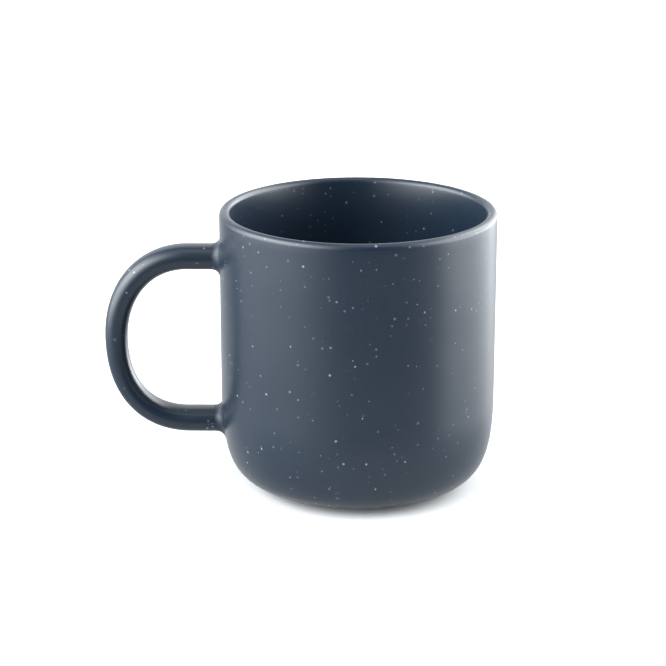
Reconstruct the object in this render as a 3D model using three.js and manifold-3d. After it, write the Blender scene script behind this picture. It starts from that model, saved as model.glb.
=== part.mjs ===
// A stoneware mug: a cup with a straight wall, a soft heel and a foot ring, and an oval
// handle that is luted to the wall with clay slip at both of its ends.
// Millimetres, +Z up, standing on z = 0. The handle points to -X, and the origin is under
// the middle of the whole footprint, cup and handle together.

import * as THREE from 'three';
import { mergeVertices } from 'three/addons/utils/BufferGeometryUtils.js';
import Module from 'manifold-3d';

const wasm = await Module();
wasm.setup();

// Cup, outside.
const CUP_RADIUS = 42.5; // straight wall
const CUP_HEIGHT = 87; // table to the top of the lip
const HEEL_HEIGHT = 27; // rise of the curve between the underside and the straight wall
const HEEL_FLAT_RADIUS = 29; // where that curve runs level into the underside
const HEEL_FULLNESS_LOW = 0.75; // share of its run that the curve stays near the underside
const HEEL_FULLNESS_HIGH = 0.7; // share of its rise that the curve stays near the wall

// Cup, inside.
const WALL_THICKNESS = 4.2;
const LIP_THICKNESS = 3.3; // the lip is rounded over the whole of it
const LIP_FLARE = Math.PI / 20; // lean of the inner wall where it runs out into the lip
const FLOOR_THICKNESS = 5;
const INNER_FLAT_INSET = 9; // how much smaller the floor's flat middle is than the heel's
const INNER_FULLNESS = 0.66; // share of its run and rise that the inner curve stays near floor and wall

// Foot ring, the only part that touches the table.
const FOOT_HEIGHT = 1.4; // table to the underside of the heel
const FOOT_INSET = 1; // how far inside the heel's flat radius the ring stands
const FOOT_RING_WIDTH = 3.4;
const FOOT_EDGE = 0.4; // chamfer on both edges of the ring
const FOOT_RECESS = 1.6; // table to the underside inside the ring

// Handle: a straight arm out of the wall at each end, and one round bend between them.
const FINGER_DEPTH = 29; // wall to the inside of the grip
const UPPER_ARM_DROP = 15.2; // top of the lip to the middle of the upper arm
const LOWER_ARM_RISE = 19.2; // table to the middle of the lower arm
const ARM_LENGTH = 10; // straight run of each arm, from the wall on its middle line
const UPPER_BEND_FULLNESS = 0.59; // 0.552 is an ellipse, more is squarer
const LOWER_BEND_FULLNESS = 0.625;
const GRIP_THICKNESS = 6.9; // across the rod in the plane of the handle, at its thinnest
const GRIP_WIDTH = 9.8; // across the rod, square to that plane, at its thinnest
const SECTION_FULLNESS = 0.66; // 0.552 is an ellipse, more is squarer
const ROOT_SWELL = 0.11; // how much stouter the rod is at the arms than at its thinnest
const THINNEST_AT = 0.6; // share of the rod's length, from the upper root
const SWELL_STARTS = 0.04; // shares of the length, both ways from the thinnest place
const SWELL_ENDS = 0.34;

// Slip joint: a thin saddle pad between arm and wall, with a hollow fillet round the arm.
const FIT_CLEARANCE = 0.3; // between any two pieces that meet
const PAD_THICKNESS = 1.2;
const FILLET_RADIUS = 2.8;
const FILLET_LIP = 0.4; // thickness of the fillet where it ends on the arm

// Fineness of the faceted surfaces.
const ROUND_SEGMENTS = 72;
const CURVE_SEGMENTS = 8;
const SECTION_SEGMENTS = 4; // for each quarter of the oval
const HANDLE_STEPS = 48;
const FILLET_STEPS = 4;

// Sizes that follow from the ones above.
const HEEL_TOP_Z = FOOT_HEIGHT + HEEL_HEIGHT;
const FOOT_OUTER_RADIUS = HEEL_FLAT_RADIUS - FOOT_INSET;
const UPPER_ARM_Z = CUP_HEIGHT - UPPER_ARM_DROP;
const LOWER_ARM_Z = LOWER_ARM_RISE;
const HANDLE_MIDDLE_Z = (UPPER_ARM_Z + LOWER_ARM_Z) / 2;
const BEND_START = CUP_RADIUS + ARM_LENGTH; // reaches are measured from the cup's axis
const HANDLE_TIP = CUP_RADIUS + FINGER_DEPTH + GRIP_THICKNESS / 2;
const ARM_THICKNESS = GRIP_THICKNESS * (1 + ROOT_SWELL);
const ARM_WIDTH = GRIP_WIDTH * (1 + ROOT_SWELL);
const SADDLE_RADIUS = CUP_RADIUS + FIT_CLEARANCE;

function clay(color, roughness) {
  return new THREE.MeshStandardMaterial({ color, roughness, metalness: 0 });
}

function namedMesh(name, geometry, material) {
  const mesh = new THREE.Mesh(geometry, material);
  mesh.name = name;
  return mesh;
}

// Booleans: a closed geometry as a solid, and back.
function solidFrom(geometry) {
  const bare = geometry.clone();
  bare.deleteAttribute('normal');
  bare.deleteAttribute('uv');
  const merged = mergeVertices(bare);
  const vertProperties = new Float32Array(merged.attributes.position.array);
  const triVerts = new Uint32Array(merged.index.array);
  return new wasm.Manifold(new wasm.Mesh({ numProp: 3, vertProperties, triVerts }));
}

function geometryFrom(solid) {
  const { vertProperties, triVerts } = solid.getMesh();
  const geometry = new THREE.BufferGeometry();
  geometry.setAttribute('position', new THREE.BufferAttribute(vertProperties, 3));
  geometry.setIndex(new THREE.BufferAttribute(triVerts, 1));
  geometry.computeVertexNormals();
  return geometry;
}

// Turns a profile of (radius, height) round the Z axis.
function turned(profile) {
  const geometry = new THREE.LatheGeometry(profile, ROUND_SEGMENTS);
  return geometry.rotateX(Math.PI / 2);
}

// The heel's curve and the straight wall above it, moved out of the clay by an offset.
function traceHeelAndWall(profile, offset) {
  const heelRun = CUP_RADIUS - HEEL_FLAT_RADIUS;
  profile.lineTo(HEEL_FLAT_RADIUS, FOOT_HEIGHT - offset);
  profile.bezierCurveTo(
    HEEL_FLAT_RADIUS + heelRun * HEEL_FULLNESS_LOW, FOOT_HEIGHT - offset,
    CUP_RADIUS + offset, HEEL_TOP_Z - HEEL_HEIGHT * HEEL_FULLNESS_HIGH,
    CUP_RADIUS + offset, HEEL_TOP_Z
  );
}

// The cup's half section, from the underside's middle round the wall to the floor's middle.
function cupProfile() {
  const footInner = FOOT_OUTER_RADIUS - FOOT_RING_WIDTH;
  const lipRadius = LIP_THICKNESS / 2;
  const lipCentre = CUP_RADIUS - lipRadius;
  const lipZ = CUP_HEIGHT - lipRadius;
  const innerRadius = CUP_RADIUS - WALL_THICKNESS;
  const flareTopZ = lipZ + lipRadius * Math.sin(LIP_FLARE);
  const flareRun = lipCentre - lipRadius * Math.cos(LIP_FLARE) - innerRadius;
  const flareHalf = flareRun / Math.tan(LIP_FLARE);
  const floorZ = FOOT_RECESS + FLOOR_THICKNESS;
  const innerFlat = HEEL_FLAT_RADIUS - INNER_FLAT_INSET;
  const innerRise = HEEL_TOP_Z - floorZ;
  const innerRun = innerRadius - innerFlat;

  const profile = new THREE.Path();
  profile.moveTo(0, FOOT_RECESS);
  profile.lineTo(footInner, FOOT_RECESS);
  profile.lineTo(footInner, FOOT_EDGE);
  profile.lineTo(footInner + FOOT_EDGE, 0);
  profile.lineTo(FOOT_OUTER_RADIUS - FOOT_EDGE, 0);
  profile.lineTo(FOOT_OUTER_RADIUS, FOOT_EDGE);
  profile.lineTo(FOOT_OUTER_RADIUS, FOOT_HEIGHT);
  traceHeelAndWall(profile, 0);
  profile.lineTo(CUP_RADIUS, lipZ);
  profile.absarc(lipCentre, lipZ, lipRadius, 0, Math.PI - LIP_FLARE, false);
  profile.quadraticCurveTo(
    innerRadius, flareTopZ - flareHalf,
    innerRadius, flareTopZ - 2 * flareHalf
  );
  profile.lineTo(innerRadius, HEEL_TOP_Z);
  profile.bezierCurveTo(
    innerRadius, HEEL_TOP_Z - innerRise * INNER_FULLNESS,
    innerFlat + innerRun * INNER_FULLNESS, floorZ,
    innerFlat, floorZ
  );
  profile.lineTo(0, floorZ);
  return profile.getPoints(CURVE_SEGMENTS);
}

// All the space that the cup's outside takes, and an offset more: what meets the cup is cut to it.
function cupSpace(offset) {
  const profile = new THREE.Path();
  profile.moveTo(0, FOOT_HEIGHT - offset);
  traceHeelAndWall(profile, offset);
  profile.lineTo(CUP_RADIUS + offset, 2 * CUP_HEIGHT);
  profile.lineTo(0, 2 * CUP_HEIGHT);
  return solidFrom(turned(profile.getPoints(CURVE_SEGMENTS)));
}

// The rod's oval: x is its thickness in the plane of the handle, y is its width.
function ovalSection(thickness, width) {
  const a = thickness / 2;
  const b = width / 2;
  const oval = new THREE.Shape();
  oval.moveTo(a, 0);
  for (const [x0, y0, x1, y1] of [[1, 0, 0, 1], [0, 1, -1, 0], [-1, 0, 0, -1], [0, -1, 1, 0]]) {
    oval.bezierCurveTo(
      a * (x0 + x1 * SECTION_FULLNESS), b * (y0 + y1 * SECTION_FULLNESS),
      a * (x1 + x0 * SECTION_FULLNESS), b * (y1 + y0 * SECTION_FULLNESS),
      a * x1, b * y1
    );
  }
  return oval;
}

// The rod's middle line, from inside the wall at the top arm round to the bottom arm.
function handleLine() {
  const at = (reach, rise) => new THREE.Vector3(-reach, 0, HANDLE_MIDDLE_Z + rise);
  const half = (UPPER_ARM_Z - LOWER_ARM_Z) / 2;
  const line = new THREE.CurvePath();
  for (const side of [1, -1]) {
    const fullness = side > 0 ? UPPER_BEND_FULLNESS : LOWER_BEND_FULLNESS;
    const squareReach = BEND_START + (HANDLE_TIP - BEND_START) * fullness;
    const squareRise = half * fullness;
    const arm = [at(CUP_RADIUS, side * half), at(BEND_START, side * half)];
    const bend = [
      at(BEND_START, side * half),
      at(squareReach, side * half),
      at(HANDLE_TIP, side * squareRise),
      at(HANDLE_TIP, 0)
    ];
    if (side > 0) {
      line.add(new THREE.LineCurve3(...arm));
      line.add(new THREE.CubicBezierCurve3(...bend));
    } else {
      line.add(new THREE.CubicBezierCurve3(...bend.reverse()));
      line.add(new THREE.LineCurve3(...arm.reverse()));
    }
  }
  return line;
}

// Swells a swept rod towards its roots, each vertex away from its own place on the middle line.
function swellTowardsRoots(geometry, line) {
  const stations = line.getSpacedPoints(HANDLE_STEPS);
  const position = geometry.attributes.position;
  const vertex = new THREE.Vector3();
  for (let i = 0; i < position.count; i++) {
    vertex.fromBufferAttribute(position, i);
    const station = stations.reduce((best, s) => {
      return s.distanceToSquared(vertex) < best.distanceToSquared(vertex) ? s : best;
    });
    const along = stations.indexOf(station) / HANDLE_STEPS;
    const away = Math.abs(along - THINNEST_AT);
    const share = THREE.MathUtils.smoothstep(away, SWELL_STARTS, SWELL_ENDS);
    vertex.sub(station).multiplyScalar(1 + ROOT_SWELL * share).add(station);
    position.setXYZ(i, vertex.x, vertex.y, vertex.z);
  }
  return geometry;
}

function handleRod() {
  const line = handleLine();
  const rod = new THREE.ExtrudeGeometry(ovalSection(GRIP_THICKNESS, GRIP_WIDTH), {
    steps: HANDLE_STEPS,
    curveSegments: SECTION_SEGMENTS,
    extrudePath: line
  });
  return solidFrom(swellTowardsRoots(rod, line));
}

// A length of arm from reach start to reach end, made stouter all round by grow(distance from the wall).
function grownArm(z, start, end, steps, grow) {
  const arm = new THREE.ExtrudeGeometry(ovalSection(ARM_THICKNESS, ARM_WIDTH), {
    steps,
    depth: end - start,
    curveSegments: SECTION_SEGMENTS,
    bevelEnabled: false
  });
  const position = arm.attributes.position;
  for (let i = 0; i < position.count; i++) {
    const reach = start + position.getZ(i);
    const extra = 2 * grow(reach - SADDLE_RADIUS);
    const side = position.getY(i) * (1 + extra / ARM_WIDTH);
    const rise = position.getX(i) * (1 + extra / ARM_THICKNESS);
    position.setXYZ(i, -reach, side, z + rise);
  }
  return solidFrom(arm);
}

// The fillet's outline, a hollow quarter round: widest on the wall, FILLET_LIP thick at its end.
function filletGrowth(distance) {
  const share = THREE.MathUtils.clamp(1 - distance / FILLET_RADIUS, 0, 1);
  const hollow = FILLET_RADIUS * (1 - Math.sqrt(1 - share * share));
  return FIT_CLEARANCE + FILLET_LIP + hollow;
}

// The pad and its fillet: a flared block, less the arm in its clearance and the cup in its own.
function slipJoint(z) {
  const inside = CUP_RADIUS - ARM_WIDTH;
  const outside = SADDLE_RADIUS + FILLET_RADIUS;
  const root = grownArm(z, inside, SADDLE_RADIUS, 1, () => filletGrowth(0));
  const flare = grownArm(z, SADDLE_RADIUS, outside, FILLET_STEPS, filletGrowth);
  const arm = grownArm(z, inside, outside + ARM_LENGTH, 1, () => FIT_CLEARANCE);
  const armBeyondPad = arm.subtract(cupSpace(FIT_CLEARANCE + PAD_THICKNESS));
  const block = root.add(flare).subtract(armBeyondPad);
  return geometryFrom(block.subtract(cupSpace(FIT_CLEARANCE)));
}

// The rod, cut hollow at both ends to sit on the pads.
function handle() {
  return geometryFrom(handleRod().subtract(cupSpace(2 * FIT_CLEARANCE + PAD_THICKNESS)));
}

const mug = new THREE.Group();

const glaze = () => clay(0x3b4654, 0.4);
const slip = () => clay(0x46505d, 0.45);

mug.add(namedMesh('cup_body', turned(cupProfile()), glaze()));
mug.add(namedMesh('handle', handle(), glaze()));
mug.add(namedMesh('upper_slip_joint', slipJoint(UPPER_ARM_Z), slip()));
mug.add(namedMesh('lower_slip_joint', slipJoint(LOWER_ARM_Z), slip()));

const footprint = new THREE.Box3().setFromObject(mug, true);
mug.position.x = -(footprint.min.x + footprint.max.x) / 2;

export default mug;
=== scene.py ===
# %% [markdown]
# # A speckled stoneware mug
#
# The mug is a straight cup with a soft heel, a foot ring and a rounded lip, and an oval
# handle that is stuck on with clay slip. This lesson builds its surface finely around the
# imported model, gives it a satin glaze with pale grains in it, and lights it between two boxes.
#
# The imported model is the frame: it says where each piece is and how large it is. Nothing
# in it is moved. Each fine piece below stands in the place of one of its nodes.

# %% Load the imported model
import math

import bmesh
import bpy
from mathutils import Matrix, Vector


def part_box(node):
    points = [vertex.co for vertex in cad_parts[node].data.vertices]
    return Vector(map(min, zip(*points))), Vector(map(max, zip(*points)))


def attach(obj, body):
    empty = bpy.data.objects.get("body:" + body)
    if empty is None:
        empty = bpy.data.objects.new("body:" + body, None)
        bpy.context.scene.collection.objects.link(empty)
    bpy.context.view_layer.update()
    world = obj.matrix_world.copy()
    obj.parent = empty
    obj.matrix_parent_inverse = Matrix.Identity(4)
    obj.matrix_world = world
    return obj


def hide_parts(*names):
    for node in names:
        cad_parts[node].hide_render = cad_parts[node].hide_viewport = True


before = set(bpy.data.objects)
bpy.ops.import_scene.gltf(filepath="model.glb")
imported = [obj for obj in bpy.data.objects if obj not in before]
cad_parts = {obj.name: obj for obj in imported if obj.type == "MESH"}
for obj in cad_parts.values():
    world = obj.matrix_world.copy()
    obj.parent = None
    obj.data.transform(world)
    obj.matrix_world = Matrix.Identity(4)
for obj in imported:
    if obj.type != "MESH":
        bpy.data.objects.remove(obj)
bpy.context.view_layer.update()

# %% [markdown]
# ## Sizes
#
# The large sizes come from the frame: the cup's node gives the radius, the height and the
# axis, and the handle's node gives how far the grip reaches and where the two arms lie.
# The small sizes, such as the wall and the foot ring, are the ones that a potter would
# write on a drawing, and they are given in millimetres.

# %% Sizes from the frame, and the potter's small sizes
MM = 0.001

cup_low, cup_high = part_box("cup_body")
handle_low, handle_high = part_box("handle")
CUP_AXIS_X = (cup_low.x + cup_high.x) / 2
CUP_RADIUS = (cup_high.x - cup_low.x) / 2
CUP_HEIGHT = cup_high.z

WALL_THICKNESS = 4.2 * MM
LIP_THICKNESS = 3.3 * MM
LIP_FLARE = math.radians(9)
FLOOR_THICKNESS = 5 * MM
HEEL_HEIGHT = 27 * MM
HEEL_FLAT_RADIUS = 29 * MM
HEEL_FULLNESS_LOW = 0.75
HEEL_FULLNESS_HIGH = 0.7
INNER_FLAT_INSET = 9 * MM
INNER_FULLNESS = 0.66
FOOT_HEIGHT = 1.4 * MM
FOOT_INSET = 1 * MM
FOOT_RING_WIDTH = 3.4 * MM
FOOT_EDGE = 0.4 * MM
FOOT_ROOT = 0.3 * MM
FOOT_RECESS = 1.6 * MM

GRIP_THICKNESS = 6.9 * MM
GRIP_WIDTH = 9.8 * MM
ROOT_SWELL = 0.11
THINNEST_AT = 0.6
SWELL_STARTS = 0.04
SWELL_ENDS = 0.34
ARM_LENGTH = 10 * MM
UPPER_BEND_FULLNESS = 0.59
LOWER_BEND_FULLNESS = 0.625
SECTION_FULLNESS = 0.66
FILLET_RADIUS = 2.6 * MM

HEEL_TOP = FOOT_HEIGHT + HEEL_HEIGHT
ARM_THICKNESS = GRIP_THICKNESS * (1 + ROOT_SWELL)
ARM_WIDTH = GRIP_WIDTH * (1 + ROOT_SWELL)
UPPER_ARM = handle_high.z - ARM_THICKNESS / 2
LOWER_ARM = handle_low.z + ARM_THICKNESS / 2
HANDLE_MIDDLE = (UPPER_ARM + LOWER_ARM) / 2
HANDLE_TIP = CUP_AXIS_X - handle_low.x - GRIP_THICKNESS / 2
BEND_START = CUP_RADIUS + ARM_LENGTH
print(f"cup {CUP_RADIUS * 2000:.1f} mm across and {CUP_HEIGHT * 1000:.1f} mm high")
print(f"arms at {UPPER_ARM * 1000:.1f} and {LOWER_ARM * 1000:.1f} mm")
print(f"grip out to {HANDLE_TIP * 1000:.1f} mm from the cup's axis")


# %% [markdown]
# ## The camera
#
# The mug is seen from a little above, with the handle to the left. A long lens from 0.7 m
# keeps the wall's edges nearly parallel. The camera turns slightly towards the handle, so
# that the whole mug, handle included, sits in the frame.

# %% Camera
CAMERA_DISTANCE = 0.7
CAMERA_ELEVATION = math.radians(17.74)
CAMERA_LENS = 121.8
LOOK_TOWARDS_HANDLE = 7.7 * MM
LOOK_HEIGHT = 47.2 * MM
PIVOT_HEIGHT = 45 * MM


def make_camera():
    data = bpy.data.cameras.new("studio_camera")
    data.lens = CAMERA_LENS
    camera = bpy.data.objects.new("studio_camera", data)
    bpy.context.scene.collection.objects.link(camera)
    back = Vector((0, -math.cos(CAMERA_ELEVATION), math.sin(CAMERA_ELEVATION)))
    camera.location = Vector((CUP_AXIS_X, 0, PIVOT_HEIGHT)) + back * CAMERA_DISTANCE
    aim = Vector((CUP_AXIS_X - LOOK_TOWARDS_HANDLE, 0, LOOK_HEIGHT))
    camera.rotation_mode = "QUATERNION"
    camera.rotation_quaternion = (aim - camera.location).to_track_quat("-Z", "Y")
    bpy.context.scene.camera = camera
    return camera


print("camera at", [round(v, 3) for v in make_camera().location])

# %% [markdown]
# ## Curves and rings
#
# Every surface here is a stack of rings. A ring is a closed loop of points, and a mesh is
# made by joining each ring to the next with a band of four-sided faces. One Bezier helper
# draws the heel, the bend of the handle, its oval section and the hollow fillets, because
# in all of them the shape is two straight directions joined by a full, even curve.

# %% Helpers for curves and rings
def bezier(p0, p1, p2, p3, steps, skip_first=False):
    """Points along a cubic Bezier, as tuples of any number of coordinates."""
    points = []
    for i in range(1 if skip_first else 0, steps + 1):
        t = i / steps
        weights = ((1 - t) ** 3, 3 * t * (1 - t) ** 2, 3 * t * t * (1 - t), t ** 3)
        points.append(tuple(
            sum(w * c for w, c in zip(weights, coords)) for coords in zip(p0, p1, p2, p3)))
    return points


def arc(centre, radius, start, end, steps, skip_first=False):
    """Points along a circular arc, angles in degrees."""
    points = []
    for i in range(1 if skip_first else 0, steps + 1):
        a = math.radians(start + (end - start) * i / steps)
        points.append((centre[0] + radius * math.cos(a), centre[1] + radius * math.sin(a)))
    return points


def straight(p0, p1, steps):
    """Points along a line, leaving out the first."""
    return [tuple(a + (b - a) * i / steps for a, b in zip(p0, p1)) for i in range(1, steps + 1)]


def mesh_from_rings(name, rings, slots=None, closed_stack=False, sharp_rings=()):
    """Joins rings of points into one closed surface. A ring of one point is a pole."""
    work = bmesh.new()
    loops = [[work.verts.new(p) for p in ring] for ring in rings]
    pairs = list(zip(loops, loops[1:]))
    if closed_stack:
        pairs.append((loops[-1], loops[0]))
    for band, (low, high) in enumerate(pairs):
        count = max(len(low), len(high))
        for i in range(count):
            j = (i + 1) % count
            corners = [low[i % len(low)], low[j % len(low)], high[j % len(high)], high[i % len(high)]]
            corners = [v for k, v in enumerate(corners) if v not in corners[:k]]
            face = work.faces.new(corners)
            face.smooth = True
            face.material_index = slots[band] if slots else 0
    bmesh.ops.recalc_face_normals(work, faces=work.faces)
    for ring in sharp_rings:
        loop = loops[ring]
        for a, b in zip(loop, loop[1:] + loop[:1]):
            work.edges.get((a, b)).smooth = False
    mesh = bpy.data.meshes.new(name)
    work.to_mesh(mesh)
    work.free()
    piece = bpy.data.objects.new(name, mesh)
    bpy.context.scene.collection.objects.link(piece)
    print(f"{name}: {len(mesh.polygons)} faces")
    return piece


# %% [markdown]
# ## The cup
#
# The real cup is shaped on a wheel or in a spinning mould, so every level section of it is
# a circle. It could be made by bending a cylinder, but turning one drawn outline round the
# axis is the way the clay itself was shaped, and it puts the fine points where the outline
# bends: at the foot, in the heel and over the lip.
#
# The outline starts under the floor, goes round the foot ring, up the heel and the wall,
# over the lip and down the inside to the middle of the floor.

# %% The cup's outline
TURN_STEPS = 288
RECESS_STEPS = 10
CORNER_STEPS = 4
SOLE_EDGE_STEPS = 3
SOLE_STEPS = 6
HEEL_STEPS = 48
WALL_STEPS = 24
LIP_STEPS = 24
FLARE_STEPS = 16
INNER_WALL_STEPS = 20
INNER_HEEL_STEPS = 36
INNER_FLOOR_STEPS = 8
WIPED_FROM = 240
WIPED_TO = 300
GLAZED = 0
BARE = 1


def foot_outline():
    """From the middle of the underside round the foot ring: the recess, the sole, the side.

    The sole is the part that is wiped clean. It starts and ends on the ring's rounded
    edges, between the two angles that are named above.
    """
    outer = HEEL_FLAT_RADIUS - FOOT_INSET
    inner = outer - FOOT_RING_WIDTH
    inner_edge = (inner + FOOT_EDGE, FOOT_EDGE)
    outer_edge = (outer - FOOT_EDGE, FOOT_EDGE)
    recess = [(0, FOOT_RECESS)]
    recess += straight(recess[0], (inner - FOOT_ROOT, FOOT_RECESS), RECESS_STEPS)
    recess += arc((inner - FOOT_ROOT, FOOT_RECESS - FOOT_ROOT), FOOT_ROOT, 90, 0, CORNER_STEPS, True)
    recess += arc(inner_edge, FOOT_EDGE, 180, WIPED_FROM, CORNER_STEPS)
    sole = arc(inner_edge, FOOT_EDGE, WIPED_FROM, 270, SOLE_EDGE_STEPS, True)
    sole += straight(sole[-1], (outer - FOOT_EDGE, 0), SOLE_STEPS)
    sole += arc(outer_edge, FOOT_EDGE, 270, WIPED_TO, SOLE_EDGE_STEPS, True)
    side = arc(outer_edge, FOOT_EDGE, WIPED_TO, 360, CORNER_STEPS, True)
    side.append((outer, FOOT_HEIGHT - FOOT_ROOT))
    side += arc((outer + FOOT_ROOT, FOOT_HEIGHT - FOOT_ROOT), FOOT_ROOT, 180, 90, CORNER_STEPS, True)
    return recess, sole, side


def heel_and_wall_outline():
    """From the underside up the full curve of the heel, then straight up to the lip."""
    run = CUP_RADIUS - HEEL_FLAT_RADIUS
    heel = bezier(
        (HEEL_FLAT_RADIUS, FOOT_HEIGHT),
        (HEEL_FLAT_RADIUS + run * HEEL_FULLNESS_LOW, FOOT_HEIGHT),
        (CUP_RADIUS, HEEL_TOP - HEEL_HEIGHT * HEEL_FULLNESS_HIGH),
        (CUP_RADIUS, HEEL_TOP), HEEL_STEPS)
    return heel + straight(heel[-1], (CUP_RADIUS, CUP_HEIGHT - LIP_THICKNESS / 2), WALL_STEPS)


def lip_and_flare_outline(inner):
    """Over the round lip, then down the flare, one even bend from the lean to the plumb wall."""
    lip = LIP_THICKNESS / 2
    lip_end = 180 - math.degrees(LIP_FLARE)
    outline = arc((CUP_RADIUS - lip, CUP_HEIGHT - lip), lip, 0, lip_end, LIP_STEPS, True)
    top_radius, top = outline[-1]
    half = (top_radius - inner) / math.tan(LIP_FLARE)
    upper_pull = ((top_radius + 2 * inner) / 3, top - half * 2 / 3)
    lower_pull = (inner, top - half * 4 / 3)
    return outline + bezier(
        outline[-1], upper_pull, lower_pull, (inner, top - 2 * half), FLARE_STEPS, True)


def inside_outline():
    """Over the lip, down the wall and round the inner heel to the middle of the floor."""
    inner = CUP_RADIUS - WALL_THICKNESS
    floor = FOOT_RECESS + FLOOR_THICKNESS
    flat = HEEL_FLAT_RADIUS - INNER_FLAT_INSET
    outline = lip_and_flare_outline(inner)
    outline += straight(outline[-1], (inner, HEEL_TOP), INNER_WALL_STEPS)
    outline += bezier(
        (inner, HEEL_TOP), (inner, HEEL_TOP - (HEEL_TOP - floor) * INNER_FULLNESS),
        (flat + (inner - flat) * INNER_FULLNESS, floor), (flat, floor), INNER_HEEL_STEPS, True)
    return outline + straight((flat, floor), (0, floor), INNER_FLOOR_STEPS)


# %% Turn the outline into the cup
def turned(radius, height):
    """The ring that one outline point makes when it goes round the cup's axis."""
    if radius == 0:
        return [Vector((CUP_AXIS_X, 0, height))]
    angles = [math.tau * i / TURN_STEPS for i in range(TURN_STEPS)]
    return [Vector((CUP_AXIS_X + radius * math.cos(a), radius * math.sin(a), height)) for a in angles]


def make_cup():
    recess, sole, side = foot_outline()
    outline = recess + sole + side + heel_and_wall_outline() + inside_outline()
    first_bare = len(recess) - 1
    last_bare = first_bare + len(sole) - 1
    slots = [BARE if first_bare <= i <= last_bare else GLAZED for i in range(len(outline))]
    return mesh_from_rings("cup_shell", [turned(r, z) for r, z in outline], slots)


cup = make_cup()
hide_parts("cup_body")
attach(cup, "root")

# %% [markdown]
# ## The handle
#
# The handle is a rod of clay with an oval section, cast or pulled, then bent to a D: two
# short straight arms and one round bend. It is thinnest just below the middle of the bend
# and grows stouter towards the cup, as a pulled handle does. A curve with a bevel would give
# nearly the same rod, but its swell would be hard to place, so the rod is a stack of oval
# rings, each drawn square to the middle line.

# %% The rod's middle line and its oval
OVAL_STEPS = 16
ARM_STEPS = 10
BEND_STEPS = 64
ROD_END_IN_WALL = 2 * MM


def oval(thickness, width):
    """Points of the oval: first along its thickness, then along its width."""
    a, b, f = thickness / 2, width / 2, SECTION_FULLNESS
    quarters = [((1, 0), (0, 1)), ((0, 1), (-1, 0)), ((-1, 0), (0, -1)), ((0, -1), (1, 0))]
    points = []
    for (x0, y0), (x1, y1) in quarters:
        points += bezier(
            (a * x0, b * y0), (a * (x0 + x1 * f), b * (y0 + y1 * f)),
            (a * (x1 + x0 * f), b * (y1 + y0 * f)), (a * x1, b * y1), OVAL_STEPS)[:-1]
    return points


def smoothstep(value, low, high):
    t = min(max((value - low) / (high - low), 0), 1)
    return t * t * (3 - 2 * t)


def handle_line():
    """Points of (reach from the cup's axis, height), from the upper arm to the lower one."""
    start = CUP_RADIUS - ROD_END_IN_WALL
    halves = []
    for half, fullness in ((UPPER_ARM - HANDLE_MIDDLE, UPPER_BEND_FULLNESS),
                           (LOWER_ARM - HANDLE_MIDDLE, LOWER_BEND_FULLNESS)):
        square_reach = BEND_START + (HANDLE_TIP - BEND_START) * fullness
        points = [(start, half)] + straight((start, half), (BEND_START, half), ARM_STEPS)
        points += bezier(
            (BEND_START, half), (square_reach, half),
            (HANDLE_TIP, half * fullness), (HANDLE_TIP, 0), BEND_STEPS, True)
        halves.append([(reach, HANDLE_MIDDLE + rise) for reach, rise in points])
    upper, lower = halves
    return upper + lower[-2::-1]


def shares_along(line):
    """How far each point lies along the rod, from 0 at the upper root to 1 at the lower one."""
    lengths = [0]
    for (r0, z0), (r1, z1) in zip(line, line[1:]):
        lengths.append(lengths[-1] + math.hypot(r1 - r0, z1 - z0))
    whole = lengths[-1] - 2 * ROD_END_IN_WALL
    return [(length - ROD_END_IN_WALL) / whole for length in lengths]


# %% The rod
def rod_ring(line, i, share):
    """The oval at one point of the line, square to the line's direction there."""
    before, after = line[max(i - 1, 0)], line[min(i + 1, len(line) - 1)]
    along = Vector((after[0] - before[0], after[1] - before[1])).normalized()
    reach, height = line[i]
    swell = 1 + ROOT_SWELL * smoothstep(abs(share - THINNEST_AT), SWELL_STARTS, SWELL_ENDS)
    ring = []
    for out, side in oval(GRIP_THICKNESS * swell, GRIP_WIDTH * swell):
        x = -(reach - along.y * out)
        ring.append(Vector((CUP_AXIS_X + x, side, height + along.x * out)))
    return ring


def make_handle():
    line = handle_line()
    rings = [rod_ring(line, i, share) for i, share in enumerate(shares_along(line))]
    ends = [[Vector((CUP_AXIS_X - reach, 0, height))] for reach, height in (line[0], line[-1])]
    return mesh_from_rings("handle_rod", [ends[0]] + rings + [ends[1]])


rod = make_handle()
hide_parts("handle")
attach(rod, "root")

# %% [markdown]
# ## The slip joints
#
# Where the handle meets the wall, the potter presses the two together with slip and wipes
# the squeezed-out clay into a small hollow fillet. It is what makes the handle look grown
# from the cup. A modifier could blend the shapes, but it would round them unevenly, so
# each fillet is drawn: round the arm, one small curve leaves the rod along its length and
# runs out flat on the wall. The band of curves is closed behind, inside rod and wall.
#
# The lower arm meets the cup where the heel already begins, so the wall's radius is asked
# for at every height.

# %% The wall's radius at a height
def wall_radius_at(height):
    """The radius of the cup's outside at a height, found on the outline."""
    outline = heel_and_wall_outline()
    for (r0, z0), (r1, z1) in zip(outline, outline[1:]):
        if z0 <= height <= z1 and z1 > z0:
            return r0 + (r1 - r0) * (height - z0) / (z1 - z0)
    return CUP_RADIUS


def wall_reach(side, height):
    """How far the wall stands out towards the handle, beside the cup's middle plane."""
    return math.sqrt(wall_radius_at(height) ** 2 - side ** 2)


# %% A fillet
FILLET_STEPS = 20
FILLET_PULL = 0.6
SLOPE_PROBE = 0.02 * FILLET_RADIUS
HIDDEN_DEPTH = 0.6 * MM


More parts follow.
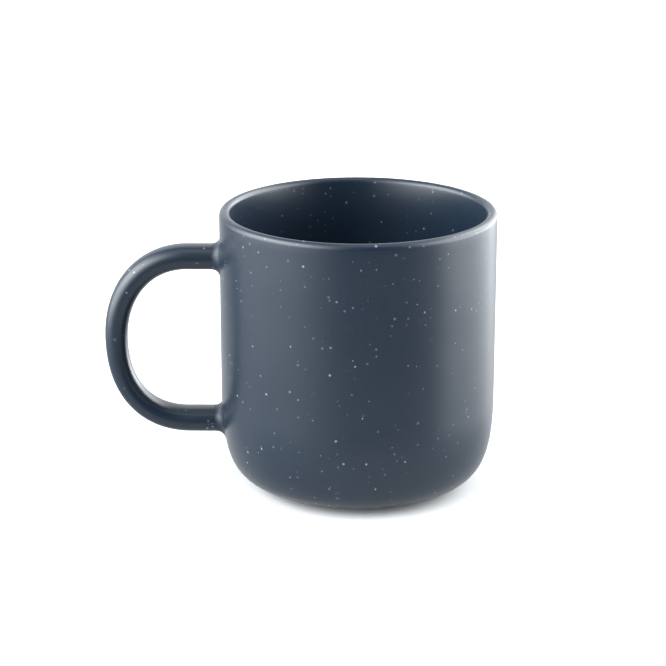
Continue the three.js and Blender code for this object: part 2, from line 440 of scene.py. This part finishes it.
def fillet_curve(out, side, normal, arm_height):
    """One curve of the fillet, from the rod to the wall, then back inside both."""
    def spot(reach, away):
        return (reach, side + normal.y * away, arm_height + out + normal.x * away)

    def on_wall(away):
        _, y, z = spot(0, away)
        return spot(wall_reach(y, z), away)

    pull = FILLET_RADIUS * FILLET_PULL
    foot = on_wall(FILLET_RADIUS)
    beyond = on_wall(FILLET_RADIUS + SLOPE_PROBE)
    slope = (foot[0] - beyond[0]) / SLOPE_PROBE
    start = spot(on_wall(0)[0] + FILLET_RADIUS, 0)
    near_rod = spot(start[0] - pull, 0)
    near_wall = spot(foot[0] + slope * pull, FILLET_RADIUS - pull)
    curve = bezier(start, near_rod, near_wall, foot, FILLET_STEPS)
    curve.append(spot(foot[0] - HIDDEN_DEPTH, FILLET_RADIUS))
    curve.append(spot(on_wall(0)[0] - HIDDEN_DEPTH, -HIDDEN_DEPTH))
    curve.append(spot(start[0], -HIDDEN_DEPTH))
    return curve


def oval_normals(points):
    """Outward directions of the oval, from its neighbours."""
    count = len(points)
    normals = []
    for i in range(count):
        before, after = points[i - 1], points[(i + 1) % count]
        normals.append(Vector((after[1] - before[1], before[0] - after[0])).normalized())
    return normals


def make_fillet(name, arm_height):
    points = oval(ARM_THICKNESS, ARM_WIDTH)
    curves = [
        fillet_curve(out, side, normal, arm_height)
        for (out, side), normal in zip(points, oval_normals(points))]
    rings = [[Vector((CUP_AXIS_X - x, y, z)) for x, y, z in ring] for ring in zip(*curves)]
    return mesh_from_rings(name, rings, closed_stack=True, sharp_rings=(0, FILLET_STEPS))


for name, node, height in (
        ("upper_joint_fillet", "upper_slip_joint", UPPER_ARM),
        ("lower_joint_fillet", "lower_slip_joint", LOWER_ARM)):
    fillet = make_fillet(name, height)
    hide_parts(node)
    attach(fillet, "root")

# %% [markdown]
# ## Shared glaze effects
#
# The whole mug wears one glaze, so its effects are node groups with named inputs, built
# once. They work from the place of each point in the mug's own space, so the grains and
# the shade run on without a break from the cup over the fillets to the handle.

# %% A small helper for node groups
def new_group(name, inputs, outputs):
    """A shader node group with named sockets. Gives back the group and its two ends."""
    group = bpy.data.node_groups.new(name, "ShaderNodeTree")
    for label, kind, value in inputs:
        socket = group.interface.new_socket(label, in_out="INPUT", socket_type=kind)
        if value is not None:
            socket.default_value = value
    for label, kind in outputs:
        group.interface.new_socket(label, in_out="OUTPUT", socket_type=kind)
    return group, group.nodes.new("NodeGroupInput"), group.nodes.new("NodeGroupOutput")


def math_node(tree, operation, a, b=None, clamp=False):
    """A Math node. Each of a and b is a number or a socket."""
    node = tree.nodes.new("ShaderNodeMath")
    node.operation = operation
    node.use_clamp = clamp
    for slot_number, value in enumerate((a, b)):
        if value is None:
            continue
        if isinstance(value, (int, float)):
            node.inputs[slot_number].default_value = value
        else:
            tree.links.new(value, node.inputs[slot_number])
    return node.outputs[0]


def noise_node(tree, vector, scale, detail, roughness=0.5):
    node = tree.nodes.new("ShaderNodeTexNoise")
    tree.links.new(vector, node.inputs["Vector"])
    node.inputs["Scale"].default_value = scale
    node.inputs["Detail"].default_value = detail
    node.inputs["Roughness"].default_value = roughness
    return node


# %% [markdown]
# ### Grains
#
# Pale grains melt into the glaze as small dots of different size and brightness. A picture
# of dots would need an unwrapped surface, so this uses scattered points in space instead:
# a Voronoi texture gives the distance to the nearest one, and where a point lies close
# under the surface, it shows as a dot. Most points are switched off by a random value,
# and a slow noise makes the ones that are left gather in loose clusters.

# %% Grains group
WOBBLE_SCALE = 1900
WOBBLE_SIZE = 0.28 * MM
CLUSTER_SCALE = 55
SMALLEST_GRAIN = 0.45
GRAIN_SIZE_RANGE = 0.9
GRAIN_EDGE = 2.2


def make_grains_group():
    """Mask is 1 in a grain and 0 outside. Tone is a random value for each grain."""
    group, ends_in, ends_out = new_group(
        "glaze_grains",
        [("Position", "NodeSocketVector", None), ("Spacing", "NodeSocketFloat", 2.6 * MM),
         ("Radius", "NodeSocketFloat", 0.34 * MM), ("Share", "NodeSocketFloat", 0.3),
         ("Clustering", "NodeSocketFloat", 0.5)],
        [("Mask", "NodeSocketFloat"), ("Tone", "NodeSocketFloat")])
    position = ends_in.outputs["Position"]

    wobble = noise_node(group, position, WOBBLE_SCALE, 2)
    shift = group.nodes.new("ShaderNodeVectorMath")
    shift.operation = "MULTIPLY_ADD"
    group.links.new(wobble.outputs["Color"], shift.inputs[0])
    shift.inputs[1].default_value = (WOBBLE_SIZE,) * 3
    group.links.new(position, shift.inputs[2])

    cells = group.nodes.new("ShaderNodeTexVoronoi")
    cells.feature = "F1"
    group.links.new(shift.outputs[0], cells.inputs["Vector"])
    group.links.new(math_node(group, "DIVIDE", 1, ends_in.outputs["Spacing"]), cells.inputs["Scale"])
    distance = math_node(group, "MULTIPLY", cells.outputs["Distance"], ends_in.outputs["Spacing"])

    chance = group.nodes.new("ShaderNodeSeparateColor")
    group.links.new(cells.outputs["Color"], chance.inputs["Color"])
    patches = noise_node(group, position, CLUSTER_SCALE, 1)
    drift = math_node(group, "MULTIPLY", math_node(group, "SUBTRACT", patches.outputs["Fac"], 0.5),
                      ends_in.outputs["Clustering"])
    share = math_node(group, "ADD", ends_in.outputs["Share"], drift)
    switched_on = math_node(group, "LESS_THAN", chance.outputs["Red"], share)

    spread = math_node(group, "MULTIPLY", chance.outputs["Green"], GRAIN_SIZE_RANGE)
    size = math_node(group, "ADD", spread, SMALLEST_GRAIN)
    radius = math_node(group, "MULTIPLY", ends_in.outputs["Radius"], size)
    depth = math_node(group, "DIVIDE", distance, radius)
    inwards = math_node(group, "SUBTRACT", 1, depth)
    dot = math_node(group, "MULTIPLY", inwards, GRAIN_EDGE, clamp=True)
    group.links.new(math_node(group, "MULTIPLY", dot, switched_on), ends_out.inputs["Mask"])
    group.links.new(chance.outputs["Blue"], ends_out.inputs["Tone"])
    return group


# %% [markdown]
# ### Shade and surface
#
# A dipped glaze isn't one flat colour: it is a little deeper where it pools and a little
# greyer where it ran thin. And it isn't perfectly level: a slow swell from brushing and
# dipping, and a very fine skin, break the reflections softly. One group gives the shade,
# another gives the height that the bump nodes read.

# %% Shade group and surface group
SLOW_SHADE_SCALE = 28
FINE_SHADE_SCALE = 420
FINE_SHADE_SHARE = 0.1
SWELL_SCALE = 45
SKIN_SCALE = 1500
SKIN_ROUGHNESS = 0.6


def make_shade_group():
    """Color runs from deep to thin glaze. Thinness is the same value as a number."""
    group, ends_in, ends_out = new_group(
        "glaze_shade",
        [("Position", "NodeSocketVector", None), ("Deep", "NodeSocketColor", (0.01, 0.02, 0.04, 1)),
         ("Thin", "NodeSocketColor", (0.02, 0.03, 0.05, 1))],
        [("Color", "NodeSocketColor"), ("Thinness", "NodeSocketFloat")])
    slow = noise_node(group, ends_in.outputs["Position"], SLOW_SHADE_SCALE, 3)
    fine = noise_node(group, ends_in.outputs["Position"], FINE_SHADE_SCALE, 1)
    blend = math_node(
        group, "ADD", math_node(group, "MULTIPLY", slow.outputs["Fac"], 1 - FINE_SHADE_SHARE),
        math_node(group, "MULTIPLY", fine.outputs["Fac"], FINE_SHADE_SHARE))
    mix = group.nodes.new("ShaderNodeMix")
    mix.data_type = "RGBA"
    group.links.new(blend, mix.inputs["Factor"])
    group.links.new(ends_in.outputs["Deep"], mix.inputs["A"])
    group.links.new(ends_in.outputs["Thin"], mix.inputs["B"])
    group.links.new(mix.outputs["Result"], ends_out.inputs["Color"])
    group.links.new(blend, ends_out.inputs["Thinness"])
    return group


def make_surface_group():
    """Height for the bump: a slow swell and a fine skin, each as strong as its input says."""
    group, ends_in, ends_out = new_group(
        "fired_surface",
        [("Position", "NodeSocketVector", None), ("Swell", "NodeSocketFloat", 1.0),
         ("Skin", "NodeSocketFloat", 1.0)],
        [("Height", "NodeSocketFloat")])
    swell = noise_node(group, ends_in.outputs["Position"], SWELL_SCALE, 1)
    skin = noise_node(group, ends_in.outputs["Position"], SKIN_SCALE, 3, SKIN_ROUGHNESS)
    height = math_node(
        group, "ADD", math_node(group, "MULTIPLY", swell.outputs["Fac"], ends_in.outputs["Swell"]),
        math_node(group, "MULTIPLY", skin.outputs["Fac"], ends_in.outputs["Skin"]))
    group.links.new(height, ends_out.inputs["Height"])
    return group


grains_group = make_grains_group()
shade_group = make_shade_group()
surface_group = make_surface_group()
print("groups:", [g.name for g in (grains_group, shade_group, surface_group)])

# %% [markdown]
# ## The satin glaze
#
# The glaze is a dark slate blue that reflects a lot at a glancing angle and little face on.
# Its shine is satin: lamps show as soft patches, not as pictures of themselves. The shader
# has a dark blue base under a fairly smooth surface. Bright grains and fainter, deeper
# ones are two uses of the same group. In the fillets the glaze pools and sets duller, so it
# is rougher and shines a little less there. The roughness moves only a little with the
# shade: a wider range would break the broad highlights into patches.

# %% Satin glaze
DEEP_BLUE = (0.0048, 0.0108, 0.0212, 1)
THIN_BLUE = (0.0098, 0.0185, 0.0308, 1)
GRAIN_PALE = (0.62, 0.68, 0.76, 1)
GRAIN_DIM = (0.10, 0.13, 0.17, 1)
FAINT_GRAINS = {"Spacing": 2.4 * MM, "Radius": 0.40 * MM, "Share": 0.24, "Clustering": 0.4}
FAINT_STRENGTH = 0.46
BRIGHT_GRAINS = {"Spacing": 2.3 * MM, "Radius": 0.36 * MM, "Share": 0.44, "Clustering": 1.2}
BRIGHT_STRENGTH = 0.31
BRIGHT_CONTRAST = 1.9
DIMMEST_BRIGHT = 0.24
GLAZE_ROUGHNESS = 0.265
FILLET_ROUGHNESS = 0.4
ROUGHNESS_CHANGE = 0.05
GLAZE_SHINE = 0.5
FILLET_SHINE = 0.4
GLAZE_SURFACE = {"Swell": 1.0, "Skin": 0.002}
GRAIN_HEIGHT = 0.01
GLAZE_BUMP = 0.12
GLAZE_BUMP_DEPTH = 1.2 * MM


def place_group(tree, group, position, values):
    """Puts a group in a material and sets its named inputs."""
    node = tree.nodes.new("ShaderNodeGroup")
    node.node_tree = group
    tree.links.new(position, node.inputs["Position"])
    for label, value in values.items():
        node.inputs[label].default_value = value
    return node


def mix_colour(tree, factor, a, b):
    """Mixes two colours. Each of a and b is a colour or a socket."""
    mix = tree.nodes.new("ShaderNodeMix")
    mix.data_type = "RGBA"
    tree.links.new(factor, mix.inputs["Factor"])
    for label, value in (("A", a), ("B", b)):
        if isinstance(value, tuple):
            mix.inputs[label].default_value = value
        else:
            tree.links.new(value, mix.inputs[label])
    return mix.outputs["Result"]


def new_material(name):
    """A material, its node tree, its shader, and the socket of places in the mug's own space."""
    material = bpy.data.materials.new(name)
    material.use_nodes = True
    tree = material.node_tree
    shader = tree.nodes["Principled BSDF"]
    place = tree.nodes.new("ShaderNodeTexCoord")
    return material, tree, shader, place.outputs["Object"]


def add_bump(tree, shader, height, strength, distance):
    """Bends the shader's normals by a height."""
    bump = tree.nodes.new("ShaderNodeBump")
    bump.inputs["Strength"].default_value = strength
    bump.inputs["Distance"].default_value = distance
    tree.links.new(height, bump.inputs["Height"])
    tree.links.new(bump.outputs["Normal"], shader.inputs["Normal"])


def make_glaze(name, roughness, shine):
    material, tree, shader, position = new_material(name)
    shader.inputs["Specular IOR Level"].default_value = shine
    shade = place_group(tree, shade_group, position, {"Deep": DEEP_BLUE, "Thin": THIN_BLUE})
    faint = place_group(tree, grains_group, position, FAINT_GRAINS)
    bright = place_group(tree, grains_group, position, BRIGHT_GRAINS)
    faint_share = math_node(tree, "MULTIPLY", faint.outputs["Mask"], FAINT_STRENGTH)
    colour = mix_colour(tree, faint_share, shade.outputs["Color"], GRAIN_DIM)
    tone = math_node(tree, "POWER", bright.outputs["Tone"], BRIGHT_CONTRAST)
    tone = math_node(tree, "ADD", tone, DIMMEST_BRIGHT)
    glow = math_node(tree, "MULTIPLY", bright.outputs["Mask"], tone)
    colour = mix_colour(tree, math_node(tree, "MULTIPLY", glow, BRIGHT_STRENGTH), colour, GRAIN_PALE)
    tree.links.new(colour, shader.inputs["Base Color"])

    change = math_node(tree, "MULTIPLY", shade.outputs["Thinness"], ROUGHNESS_CHANGE)
    tree.links.new(math_node(tree, "ADD", change, roughness), shader.inputs["Roughness"])
    surface = place_group(tree, surface_group, position, GLAZE_SURFACE)
    grain_height = math_node(tree, "MULTIPLY", bright.outputs["Mask"], GRAIN_HEIGHT)
    raised = math_node(tree, "ADD", surface.outputs["Height"], grain_height)
    add_bump(tree, shader, raised, GLAZE_BUMP, GLAZE_BUMP_DEPTH)
    return material


glaze = make_glaze("satin_blue_glaze", GLAZE_ROUGHNESS, GLAZE_SHINE)
fillet_glaze = make_glaze("pooled_glaze_in_fillet", FILLET_ROUGHNESS, FILLET_SHINE)

# %% [markdown]
# ## The bare foot
#
# The sole of the foot ring is wiped clean before firing, or the mug would stick to the
# kiln shelf. It shows the fired clay: matt, warm grey-buff, with dark iron specks and a
# grain that can be felt. It uses the same groups as the glaze, with its own values.

# %% Bare stoneware
CLAY_COLOURS = {"Deep": (0.30, 0.25, 0.20, 1), "Thin": (0.46, 0.40, 0.33, 1)}
IRON_SPECKS = {"Spacing": 1.4 * MM, "Radius": 0.3 * MM, "Share": 0.35, "Clustering": 0.3}
IRON_DARK = (0.09, 0.06, 0.045, 1)
CLAY_ROUGHNESS = 0.75
CLAY_ROUGHNESS_CHANGE = 0.15
CLAY_SURFACE = {"Swell": 0.2, "Skin": 0.6}
CLAY_BUMP = 0.6
CLAY_BUMP_DEPTH = 0.2 * MM


def make_bare_clay():
    material, tree, shader, position = new_material("bare_stoneware")
    shade = place_group(tree, shade_group, position, CLAY_COLOURS)
    iron = place_group(tree, grains_group, position, IRON_SPECKS)
    colour = mix_colour(tree, iron.outputs["Mask"], shade.outputs["Color"], IRON_DARK)
    tree.links.new(colour, shader.inputs["Base Color"])
    change = math_node(tree, "MULTIPLY", shade.outputs["Thinness"], CLAY_ROUGHNESS_CHANGE)
    tree.links.new(math_node(tree, "ADD", change, CLAY_ROUGHNESS), shader.inputs["Roughness"])
    surface = place_group(tree, surface_group, position, CLAY_SURFACE)
    add_bump(tree, shader, surface.outputs["Height"], CLAY_BUMP, CLAY_BUMP_DEPTH)
    return material


bare_clay = make_bare_clay()

# %% Give each piece its finish
cup.data.materials.append(glaze)
cup.data.materials.append(bare_clay)
rod.data.materials.append(glaze)
for name in ("upper_joint_fillet", "lower_joint_fillet"):
    bpy.data.objects[name].data.materials.append(fillet_glaze)
print("finishes:", [m.name for m in (glaze, fillet_glaze, bare_clay)])

# %% [markdown]
# ## The light
#
# A satin glaze shows its surroundings, so the light is designed as surroundings. The mug
# stands on a small white table between two large soft boxes, one at the left and a wider
# one at the right, and the room in front of it, where the camera stands, is dark. Lamps
# alone would leave black between them, so the world's light is worked out from the
# direction. Low down it is the table's white, between there and the height of the boxes
# it is bright where a box stands, behind the mug it is a pale wall, and overhead it is a
# dim ceiling. Directions are in degrees: azimuth 0 is the front and 90 is the right, and
# rise is the height over the horizon. Each soft box is made of a main part and a fainter
# part above it, and the right one has a third part low down.

# %% The surroundings
LIGHT_COLOUR = (0.94, 0.975, 1, 1)
TABLE_EDGE = -17.5
TABLE_SOFTNESS = 5
TABLE_LIGHT = 0.85
ROOM_LIGHT = 0.02
CEILING_LIGHT = 1.3
CEILING_FROM = 64
CEILING_SOFTNESS = 10
SOFT_BOXES = [
    # first azimuth, last azimuth, softness across, lowest, highest, softness up, light
    (-114, -37, 30, -10, 46, 11, 7.8),
    (62, 150, 24, -8, 46, 11, 6.2),
    (74, 150, 10, -17, 8, 5, 3.9),
    (-114, -34, 30, 14, 62, 10, 4.4),
    (59, 150, 24, 14, 62, 10, 2.3),
]
BACK_LIGHT = 1.3
BACK_FROM = 140
BACK_SOFTNESS = 18
BACK_HIGHEST = 46
BACK_RISE_SOFTNESS = 11
TO_DEGREES = 180 / math.pi


def edge(tree, value, middle, soft):
    """Rises from 0 to 1 about a middle value, over a softness on each side."""
    node = tree.nodes.new("ShaderNodeMapRange")
    node.interpolation_type = "SMOOTHSTEP"
    node.inputs["From Min"].default_value = middle - soft
    node.inputs["From Max"].default_value = middle + soft
    tree.links.new(value, node.inputs["Value"])
    return node.outputs["Result"]


def band(tree, value, start, end, soft):
    """1 between two values and 0 outside, with soft edges."""
    return math_node(
        tree, "MULTIPLY", edge(tree, value, start, soft),
        math_node(tree, "SUBTRACT", 1, edge(tree, value, end, soft)))


def make_surroundings():
    world = bpy.data.worlds.new("studio_surroundings")
    bpy.context.scene.world = world
    world.use_nodes = True
    tree = world.node_tree
    background = tree.nodes["Background"]
    background.inputs["Color"].default_value = LIGHT_COLOUR
    direction = tree.nodes.new("ShaderNodeTexCoord").outputs["Generated"]
    split = tree.nodes.new("ShaderNodeSeparateXYZ")
    tree.links.new(direction, split.inputs[0])
    to_front = math_node(tree, "MULTIPLY", split.outputs["Y"], -1)
    turn = math_node(tree, "ARCTAN2", split.outputs["X"], to_front)
    azimuth = math_node(tree, "MULTIPLY", turn, TO_DEGREES)
    rise = math_node(tree, "MULTIPLY", math_node(tree, "ARCSINE", split.outputs["Z"]), TO_DEGREES)

    def add(level, mask, light):
        return math_node(tree, "ADD", level, math_node(tree, "MULTIPLY", mask, light))

    below = math_node(tree, "SUBTRACT", 1, edge(tree, rise, TABLE_EDGE, TABLE_SOFTNESS))
    level = math_node(tree, "MULTIPLY", below, TABLE_LIGHT)
    level = math_node(tree, "ADD", level, ROOM_LIGHT)
    level = add(level, edge(tree, rise, CEILING_FROM, CEILING_SOFTNESS), CEILING_LIGHT)
    for start, end, soft, low, high, soft_rise, light in SOFT_BOXES:
        across = band(tree, azimuth, start, end, soft)
        box = math_node(tree, "MULTIPLY", across, band(tree, rise, low, high, soft_rise))
        level = add(level, box, light)
    behind = edge(tree, math_node(tree, "ABSOLUTE", azimuth), BACK_FROM, BACK_SOFTNESS)
    wall = band(tree, rise, TABLE_EDGE, BACK_HIGHEST, BACK_RISE_SOFTNESS)
    level = add(level, math_node(tree, "MULTIPLY", behind, wall), BACK_LIGHT)
    tree.links.new(level, background.inputs["Strength"])
    return world


make_surroundings()

# %% [markdown]
# ## Floor and colour
#
# The floor is plain matt white and large. The boxes light it until it is pure white, and
# only the soft shadow close under the mug darkens it. It is made as a disc under the mug
# and a wide ring round it, because the glaze may mirror only the disc: the heel needs the
# dark of its own shadow in it, and further out the surroundings already have the table's
# white in them. The colours go to the picture unchanged.

# %% Floor
NEAR_RADIUS = 0.036
FAR_RADIUS = 3.0
FLOOR_STEPS = 96
FLOOR_WHITE = (0.7, 0.7, 0.7, 1)
FLOOR_ROUGHNESS = 0.9


def make_floor_material():
    material = bpy.data.materials.new("matt_white_floor")
    material.use_nodes = True
    shader = material.node_tree.nodes["Principled BSDF"]
    shader.inputs["Base Color"].default_value = FLOOR_WHITE
    shader.inputs["Roughness"].default_value = FLOOR_ROUGHNESS
    return material


def circle(radius):
    """A level ring of points on the table, round the cup's axis."""
    angles = [math.tau * i / FLOOR_STEPS for i in range(FLOOR_STEPS)]
    return [Vector((CUP_AXIS_X + radius * math.cos(a), radius * math.sin(a), 0)) for a in angles]


floor_material = make_floor_material()
near_floor = mesh_from_rings("near_floor", [[Vector((CUP_AXIS_X, 0, 0))], circle(NEAR_RADIUS)])
far_floor = mesh_from_rings("far_floor", [circle(NEAR_RADIUS), circle(FAR_RADIUS)])
for part in (near_floor, far_floor):
    part.data.materials.append(floor_material)
far_floor.visible_glossy = False
bpy.context.scene.view_settings.view_transform = "Standard"
